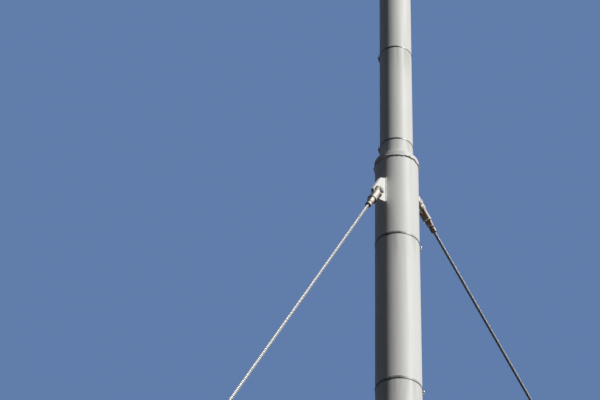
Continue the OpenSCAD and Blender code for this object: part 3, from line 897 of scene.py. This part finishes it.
class FLAGPOLE_OT_rigging(bpy.types.Operator):
    """Dress the sockets, pins, turnbuckles and anchors"""

    bl_idname = "flagpole.rigging"
    bl_label = "Dress the rigging"

    def execute(self, context):
        for stay in STAYS:
            for part, width, finish in (
                    ("fork_socket", 0.0022, f"{stay.name}_fork_steel"),
                    ("lower_socket", 0.0015, f"{stay.name}_fork_steel"),
                    ("turnbuckle", 0.0018, "galvanised"), ("screw_fork", 0.002, "galvanised"),
                    ("anchor_lug", 0.0015, "galvanised"), ("anchor_plate", 0.002, "galvanised")):
                dressed(f"{stay.name}_{part}", finish, width)
            for part in ("upper_pin", "lower_pin"):
                dressed(f"{stay.name}_{part}", "pin_steel", 0.0012)
            self.split_pins(stay)
            self.fillers(stay)
            self.screws(stay)
        return {"FINISHED"}

    def split_pins(self, stay):
        """Bent wire pins through the free ends of both clevis pins."""
        route = (
            (0.006, -0.0175), (0.001, -0.0145), (-0.0008, -0.0115), (-0.0008, 0.0115), (-0.0035, 0.0165),
            (0.0, 0.0200), (0.0035, 0.0165), (0.0008, 0.0115), (0.0008, -0.0115), (0.0, -0.0150),
            (-0.004, -0.0185))
        hole_x = FORK_W / 2 + 0.0058
        loops = []
        for along in (0.0, stay.length):
            deselect_all()
            bpy.ops.curve.primitive_nurbs_path_add()
            curve = bpy.context.object
            spline = curve.data.splines[0]
            spline.points.add(len(route) - len(spline.points))
            for point, (x, y) in zip(spline.points, route):
                point.co = (x, y, 0, 1)
            spline.order_u = 3
            spline.use_endpoint_u = True
            curve.data.bevel_depth = 0.0013
            curve.data.bevel_resolution = 2
            curve.data.resolution_u = 5
            curve.data.use_fill_caps = True
            bpy.ops.object.convert(target="MESH")
            loop = bpy.context.object
            loop.matrix_world = stay.place(along) @ Matrix.Translation((hole_x, 0, 0))
            loops.append(loop)
        piece = join(loops)
        bpy.ops.object.shade_smooth()
        settle(piece, f"{stay.name}_split_pins", "pin_steel")

    def fillers(self, stay):
        """Dark tar round the strand that closes both sockets' mouths, and stands as a painted shade of the
        gap there.
        """
        fillers = []
        for along, turn in ((SOCKET_L, 0), (stay.length - STRAND_FOOT, math.pi)):
            deselect_all()
            bpy.ops.mesh.primitive_uv_sphere_add(segments=32, ring_count=16, radius=MOUTH_R)
            filler = bpy.context.object
            filler.scale.z = 0.42
            flatten(filler)
            filler.matrix_world = stay.place(along) @ Matrix.Rotation(turn, 4, "X")
            fillers.append(flatten(filler))
        piece = join(fillers)
        bpy.ops.object.shade_smooth()
        settle(piece, f"{stay.name}_socket_fillers", "tar")

    def screws(self, stay):
        """Thread and lock nuts on both screws of a turnbuckle."""
        body_foot = stay.length - BODY_FOOT
        body_head = body_foot - BODY_L
        threads, nuts = [], []
        for start, length in (
                (body_head - SCREW_OUT, SCREW_OUT + SCREW_IN),
                (body_foot - SCREW_IN, SCREW_IN + BODY_FOOT - FORK_END)):
            ridge = thread(SCREW_D, length - 0.004)
            ridge.matrix_world = stay.place(start + 0.002)
            threads.append(flatten(ridge))
        settle(join(threads), f"{stay.name}_screw_threads", "galvanised")
        nut_h, gap = 0.014, 0.0005
        for start in (body_head - nut_h - gap, body_foot + gap):
            nut = hex_nut(SCREW_D, nut_h)
            nut.matrix_world = stay.place(start)
            nuts.append(flatten(nut))
        settle(join(nuts), f"{stay.name}_lock_nuts", "bright_steel")


def hex_nut(thread_d, depth):
    """A hexagon nut along Z with rounded-off corners, from z = 0."""
    corner_r = thread_d * 0.87
    nut = cylinder(corner_r, depth, None, 6)
    round_off = cylinder(corner_r * 1.01, depth, None, 48)
    modify(round_off, "BEVEL", width=corner_r * 0.13, segments=1, limit_method="ANGLE",
           angle_limit=math.radians(60))
    modify(nut, "BOOLEAN", object=round_off, operation="INTERSECT", solver="EXACT")
    bpy.data.objects.remove(round_off)
    return soften(nut, 0.0003, 1, 40)


def bolt_circle(centre, count, radius):
    """Places round a plate's centre, the first one half a step from its +X."""
    return [
        centre @ Matrix.Rotation((i + 0.5) * 2 * math.pi / count, 4, "Z") @ Matrix.Translation((radius, 0, 0))
        for i in range(count)]


class FLAGPOLE_OT_fasteners(bpy.types.Operator):
    """Bolt down the base flange, the anchor plates and the cleat"""

    bl_idname = "flagpole.fasteners"
    bl_label = "Bolt the plates down"

    def execute(self, context):
        self.bolts("base", BASE_BOLT_D, FLANGE_TOP, bolt_circle(Matrix(), 8, BASE_BOLT_R))
        for stay in STAYS:
            self.bolts(f"{stay.name}_anchor", ANCHOR_BOLT_D, ANCHOR_TOP,
                       bolt_circle(stay.anchor(), 4, ANCHOR_BOLT_R))
        self.cleat_screws()
        return {"FINISHED"}

    def cleat_screws(self):
        """Two socket screws through the cleat's foot, between its stems."""
        head = soften(cylinder(0.0055, 0.004), 0.0008)
        hexagon = cylinder(0.0029, 0.004, Matrix.Translation((0, 0, 0.0018)), 6)
        modify(head, "BOOLEAN", object=hexagon, operation="DIFFERENCE", solver="EXACT")
        bpy.data.objects.remove(hexagon)
        foot_x, screw_y = LOWER_R + 0.0055, 0.0095
        outward = around_mast(BACK_SIDE, CLEAT_Z) @ Matrix.Translation((foot_x, 0, 0))
        face_out = Matrix.Rotation(math.pi / 2, 4, "Y")
        places = [outward @ Matrix.Translation((0, side * screw_y, 0)) @ face_out for side in (-1, 1)]
        settle(repeat(head, places), "cleat_screws", "bright_steel")

    def bolts(self, name, thread_d, plate_top, places):
        """Threaded studs from the plate's underside, each with a washer, a nut and a lock nut."""
        washer_t, nut_h, lock_h = 0.004, thread_d * 0.8, thread_d * 0.5
        nut_z = plate_top + washer_t
        lock_z = nut_z + nut_h
        tip = lock_z + lock_h + thread_d
        stud = soften(cylinder(thread_d / 2 - 0.0006, tip, None, 24), 0.0015, 1)
        ridge = thread(thread_d - 0.0012, tip - lock_z - lock_h - 0.002)
        ridge.location.z = lock_z + lock_h - 0.001
        washer = soften(
            cylinder(thread_d * 0.92, washer_t, Matrix.Translation((0, 0, plate_top)), 40), 0.0005, 1)
        nut = hex_nut(thread_d, nut_h)
        nut.location.z = nut_z
        lock = hex_nut(thread_d, lock_h)
        lock.matrix_world = Matrix.Translation((0, 0, lock_z)) @ Matrix.Rotation(0.3, 4, "Z")
        stack = join([stud, flatten(ridge), washer, flatten(nut), flatten(lock)])
        settle(repeat(stack, places), f"{name}_bolts", "galvanised")


class FLAGPOLE_OT_strands(bpy.types.Operator):
    """Lay the six outer wires of each stay's strand"""

    bl_idname = "flagpole.strands"
    bl_label = "Lay the strands"

    def execute(self, context):
        for stay in STAYS:
            self.lay(context.scene.stay_look, stay)
        return {"FINISHED"}

    def lay(self, look, stay):
        """Wires that touch and so hide the core's place, with their ends in both sockets' tar."""
        wire_r = look.strand_d / 6
        entry = 0.004
        length = stay.length - STRAND_FOOT - SOCKET_L + 2 * entry
        sections = [
            section(8, wire_r, (2 * wire_r * math.cos(a), 2 * wire_r * math.sin(a), 0))
            for a in (i * math.pi / 3 for i in range(6))]
        strand = wound(sections, 18, look.lay, length)
        inner, outer = 2 * wire_r * math.cos(math.radians(30)), 3 * wire_r
        point_values(
            strand, "lay_height", lambda co: (math.hypot(co.x, co.y) - inner) / (outer - inner))
        settle(strand, f"{stay.name}_strand_wires", "strand_steel",
               stay.place(SOCKET_L - entry))
        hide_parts(f"{stay.name}_strand")


class FLAGPOLE_OT_stage(bpy.types.Operator):
    """Set the floor, the lights and the camera"""

    bl_idname = "flagpole.stage"
    bl_label = "Set the stage"

    def execute(self, context):
        look = context.scene.stage_look
        context.scene.view_settings.view_transform = "Standard"
        self.floor(tuple(look.ground))
        self.world(context.scene, tuple(look.sky))
        warm, cool = (1.0, 0.985, 0.95), (0.90, 0.95, 1.0)
        narrow, wide = math.radians(5), math.radians(20)
        self.lamp("key", look.key_azimuth, look.key_height, look.key_strength, warm, narrow)
        self.lamp("fill", look.fill_azimuth, look.fill_height, look.fill_strength, cool, wide)
        self.camera(context.scene)
        return {"FINISHED"}

    def floor(self, colour):
        """A pale floor that keeps shadows and throws little light back up."""
        deselect_all()
        bpy.ops.mesh.primitive_circle_add(vertices=96, radius=600, fill_type="NGON", location=(0, 0, 0))
        ground = bpy.context.object
        ground.name = "floor"
        finish = Finish("floor_paint")
        spread = finish.add("ShaderNodeLightPath", {}, {}, "Is Diffuse Ray")
        tone = finish.mix(spread, colour, shades(colour, 0.06))
        ground.data.materials.append(finish.coat(colour=tone, roughness=0.9, specular=0.1))

    def world(self, scene, colour):
        """Soft light from all round, and a plain background for what the camera and metal see."""
        world = bpy.data.worlds.new("studio")
        scene.world = world
        world.use_nodes = True
        nodes, links = world.node_tree.nodes, world.node_tree.links
        light = nodes["Background"]
        light.inputs["Color"].default_value = (0.88, 0.93, 1.0, 1)
        light.inputs["Strength"].default_value = 0.03
        backdrop = nodes.new("ShaderNodeBackground")
        backdrop.inputs["Color"].default_value = (*colour, 1)
        path = nodes.new("ShaderNodeLightPath")
        seen = path.outputs["Is Camera Ray"]
        for other in ("Is Glossy Ray", "Is Transmission Ray"):
            either = nodes.new("ShaderNodeMath")
            either.operation = "MAXIMUM"
            links.new(seen, either.inputs[0])
            links.new(path.outputs[other], either.inputs[1])
            seen = either.outputs[0]
        mix = nodes.new("ShaderNodeMixShader")
        links.new(seen, mix.inputs[0])
        links.new(light.outputs[0], mix.inputs[1])
        links.new(backdrop.outputs[0], mix.inputs[2])
        links.new(mix.outputs[0], nodes["World Output"].inputs[0])

    def lamp(self, name, azimuth, height, strength, colour, spread, distance=30):
        """A sun lamp that shines from its side and height onto the origin."""
        towards = Vector((
            math.sin(azimuth) * math.cos(height), -math.cos(azimuth) * math.cos(height), math.sin(height)))
        deselect_all()
        bpy.ops.object.light_add(type="SUN", location=towards * distance)
        sun = bpy.context.object
        sun.name = name
        sun.rotation_euler = towards.to_track_quat("Z", "Y").to_euler()
        sun.data.energy = strength
        sun.data.color = colour
        sun.data.angle = spread

    def camera(self, scene):
        """The photograph's view, from eye height on the viewer's side."""
        pitch, yaw, roll = (math.radians(a) for a in (39.76, 3.241, 1.774))
        bpy.ops.object.camera_add(location=(-0.0495, -7.6642, 1.5971))
        camera = bpy.context.object
        camera.name = "viewer"
        turn = (Euler((0, 0, yaw)).to_matrix() @ Euler((math.pi / 2 + pitch, 0, 0)).to_matrix()
                @ Euler((0, 0, roll)).to_matrix())
        camera.rotation_euler = turn.to_euler()
        camera.data.sensor_width = SENSOR_WIDTH
        camera.data.lens = SENSOR_WIDTH * FOCAL_PIXELS / PHOTO_WIDTH
        camera.data.clip_end = 2000
        scene.camera = camera


class FLAGPOLE_PT_dressing(bpy.types.Panel):
    """Lists the flagpole's operators"""

    bl_label = "Flagpole"
    bl_space_type = "VIEW_3D"
    bl_region_type = "UI"
    bl_category = "Flagpole"

    def draw(self, context):
        for operator in OPERATORS:
            self.layout.operator(operator.bl_idname)


OPERATORS = (
    FLAGPOLE_OT_stage, FLAGPOLE_OT_finishes, FLAGPOLE_OT_mast, FLAGPOLE_OT_welds, FLAGPOLE_OT_bands,
    FLAGPOLE_OT_rigging, FLAGPOLE_OT_fasteners, FLAGPOLE_OT_strands)


def register():
    for look in LOOKS.values():
        bpy.utils.register_class(look)
    for name, look in LOOKS.items():
        setattr(bpy.types.Scene, name, bpy.props.PointerProperty(type=look))
    for cls in (*OPERATORS, FLAGPOLE_PT_dressing):
        bpy.utils.register_class(cls)


def unregister():
    for cls in reversed((*OPERATORS, FLAGPOLE_PT_dressing)):
        bpy.utils.unregister_class(cls)
    for name in LOOKS:
        delattr(bpy.types.Scene, name)
    for look in reversed(LOOKS.values()):
        bpy.utils.unregister_class(look)


def main():
    register()
    for operator in OPERATORS:
        group, name = operator.bl_idname.split(".")
        getattr(getattr(bpy.ops, group), name)()


if __name__ == "__main__":
    main()
